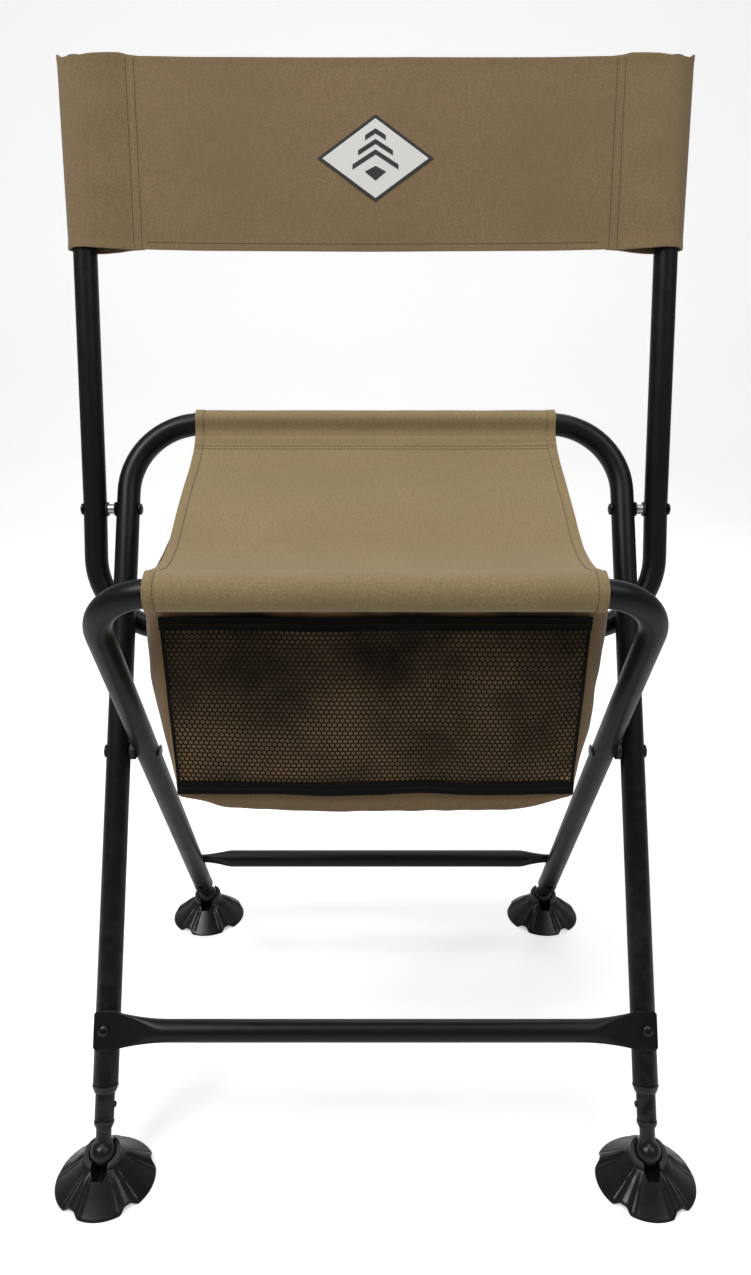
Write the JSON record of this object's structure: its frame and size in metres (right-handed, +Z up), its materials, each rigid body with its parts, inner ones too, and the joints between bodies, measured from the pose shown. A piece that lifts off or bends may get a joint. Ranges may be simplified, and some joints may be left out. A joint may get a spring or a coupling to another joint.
{
  "type": "folding blind chair",
  "caption": "Folding X-frame hunting-blind chair with sling seat, fabric backrest, storage bag under the seat, and extending legs on swivelling ball-jointed mud feet.",
  "frame": {"origin": "on the ground, at the middle of the bounding box seen from above, which is the middle of the footprint of the four feet", "axes": "+Z up, +Y towards the backrest, +X to the right when the chair is seen from its front"},
  "size_m": [0.6586, 0.5386, 1.0942],
  "materials": {
    "frame_paint": "satin black powder coat on steel tube",
    "canvas": "khaki-brown coated polyester canvas, fine diagonal weave",
    "netting": "black honeycomb mesh netting with black binding",
    "black_plastic": "moulded black plastic, semi-matt",
    "black_hardware": "black zinc-plated steel, semi-gloss",
    "bright_steel": "bright zinc-plated steel"
  },
  "bodies": {
    "front_legs": {"front_leg_frame": "frame_paint", "front_crossbar": "frame_paint", "front_crossbar_screw_left": "black_hardware", "front_crossbar_screw_right": "black_hardware", "leg_pivot_rivet_left": "bright_steel", "leg_pivot_rivet_right": "bright_steel", "leg_pivot_spacer_left": "black_plastic", "leg_pivot_spacer_right": "black_plastic", "backrest_pivot_rivet_left": "black_hardware", "backrest_pivot_rivet_right": "black_hardware", "backrest_inner_washer_left": "black_plastic", "backrest_inner_washer_right": "black_plastic", "backrest_outer_washer_left": "black_plastic", "backrest_outer_washer_right": "black_plastic", "backrest_pivot_sleeve_left": "bright_steel", "backrest_pivot_sleeve_right": "bright_steel", "leg_ferrule_front_left": "black_plastic", "leg_ferrule_front_right": "black_plastic", "seat_sling": "canvas", "storage_bag": "canvas", "net_pocket": "netting"},
    "rear_legs": {"rear_leg_frame": "frame_paint", "rear_crossbar": "frame_paint", "rear_crossbar_screw_left": "black_hardware", "rear_crossbar_screw_right": "black_hardware", "leg_ferrule_rear_left": "black_plastic", "leg_ferrule_rear_right": "black_plastic"},
    "backrest": {"backrest_frame": "frame_paint", "backrest_cover": "canvas", "upright_cap_left": "black_plastic", "upright_cap_right": "black_plastic"},
    "leg_front_left": {"leg_extension_front_left": "frame_paint", "ball_stud_front_left": "black_plastic", "lock_spring_front_left": "bright_steel"},
    "lock_front_left": {"lock_button_front_left": "black_hardware"},
    "foot_front_left": {"foot_pad_front_left": "black_plastic"},
    "stud_lock_left": {"stud_button_left": "black_hardware"},
    "leg_front_right": {"leg_extension_front_right": "frame_paint", "ball_stud_front_right": "black_plastic", "lock_spring_front_right": "bright_steel"},
    "lock_front_right": {"lock_button_front_right": "black_hardware"},
    "foot_front_right": {"foot_pad_front_right": "black_plastic"},
    "stud_lock_right": {"stud_button_right": "black_hardware"},
    "leg_rear_left": {"leg_extension_rear_left": "frame_paint", "ball_stud_rear_left": "black_plastic", "lock_spring_rear_left": "bright_steel"},
    "lock_rear_left": {"lock_button_rear_left": "black_hardware"},
    "foot_rear_left": {"foot_pad_rear_left": "black_plastic"},
    "leg_rear_right": {"leg_extension_rear_right": "frame_paint", "ball_stud_rear_right": "black_plastic", "lock_spring_rear_right": "bright_steel"},
    "lock_rear_right": {"lock_button_rear_right": "black_hardware"},
    "foot_rear_right": {"foot_pad_rear_right": "black_plastic"}
  },
  "joints": [
    {"name": "fold", "type": "hinge", "parent": "front_legs", "child": "rear_legs", "pos_m": [0, -0.03181, 0.3927], "axis": [-1, 0, 0], "range_deg": [0, 50], "deforming": ["seat_sling", "storage_bag", "net_pocket"]},
    {"name": "backrest_fold", "type": "hinge", "parent": "front_legs", "child": "backrest", "pos_m": [0, 0.09288, 0.6306], "axis": [1, 0, 0], "range_deg": [0, 96]},
    {"name": "leg_slide_front_left", "type": "slide", "parent": "front_legs", "child": "leg_front_left", "axis": [0, -0.4642, -0.8857], "range_m": [0, 0.015], "deforming": ["lock_button_front_left"]},
    {"name": "lock_press_front_left", "type": "slide", "parent": "leg_front_left", "child": "lock_front_left", "axis": [0, -0.8857, 0.4642], "range_m": [0, 0.0036], "deforming": ["lock_spring_front_left"]},
    {"name": "foot_tilt_front_left", "type": "hinge", "parent": "leg_front_left", "child": "foot_front_left", "pos_m": [-0.27635, -0.21929, 0.035], "axis": [1, 0, 0], "range_deg": [-20, 20]},
    {"name": "stud_press_left", "type": "slide", "parent": "leg_front_left", "child": "stud_lock_left", "axis": [-1, 0, 0], "range_m": [0, 0.0025]},
    {"name": "leg_slide_front_right", "type": "slide", "parent": "front_legs", "child": "leg_front_right", "axis": [0, -0.4642, -0.8857], "range_m": [0, 0.015], "deforming": ["lock_button_front_right"]},
    {"name": "lock_press_front_right", "type": "slide", "parent": "leg_front_right", "child": "lock_front_right", "axis": [0, -0.8857, 0.4642], "range_m": [0, 0.0036], "deforming": ["lock_spring_front_right"]},
    {"name": "foot_tilt_front_right", "type": "hinge", "parent": "leg_front_right", "child": "foot_front_right", "pos_m": [0.27635, -0.21929, 0.035], "axis": [1, 0, 0], "range_deg": [-20, 20]},
    {"name": "stud_press_right", "type": "slide", "parent": "leg_front_right", "child": "stud_lock_right", "axis": [1, 0, 0], "range_m": [0, 0.0025]},
    {"name": "leg_slide_rear_left", "type": "slide", "parent": "rear_legs", "child": "leg_rear_left", "axis": [0, 0.5796, -0.8149], "range_m": [0, 0.015], "deforming": ["lock_button_rear_left"]},
    {"name": "lock_press_rear_left", "type": "slide", "parent": "leg_rear_left", "child": "lock_rear_left", "axis": [0, 0.8149, 0.5796], "range_m": [0, 0.0036], "deforming": ["lock_spring_rear_left"]},
    {"name": "foot_tilt_rear_left", "type": "hinge", "parent": "leg_rear_left", "child": "foot_rear_left", "pos_m": [-0.245, 0.22258, 0.035], "axis": [1, 0, 0], "range_deg": [-20, 20]},
    {"name": "leg_slide_rear_right", "type": "slide", "parent": "rear_legs", "child": "leg_rear_right", "axis": [0, 0.5796, -0.8149], "range_m": [0, 0.015], "deforming": ["lock_button_rear_right"]},
    {"name": "lock_press_rear_right", "type": "slide", "parent": "leg_rear_right", "child": "lock_rear_right", "axis": [0, 0.8149, 0.5796], "range_m": [0, 0.0036], "deforming": ["lock_spring_rear_right"]},
    {"name": "foot_tilt_rear_right", "type": "hinge", "parent": "leg_rear_right", "child": "foot_rear_right", "pos_m": [0.245, 0.22258, 0.035], "axis": [1, 0, 0], "range_deg": [-20, 20]}
  ]
}
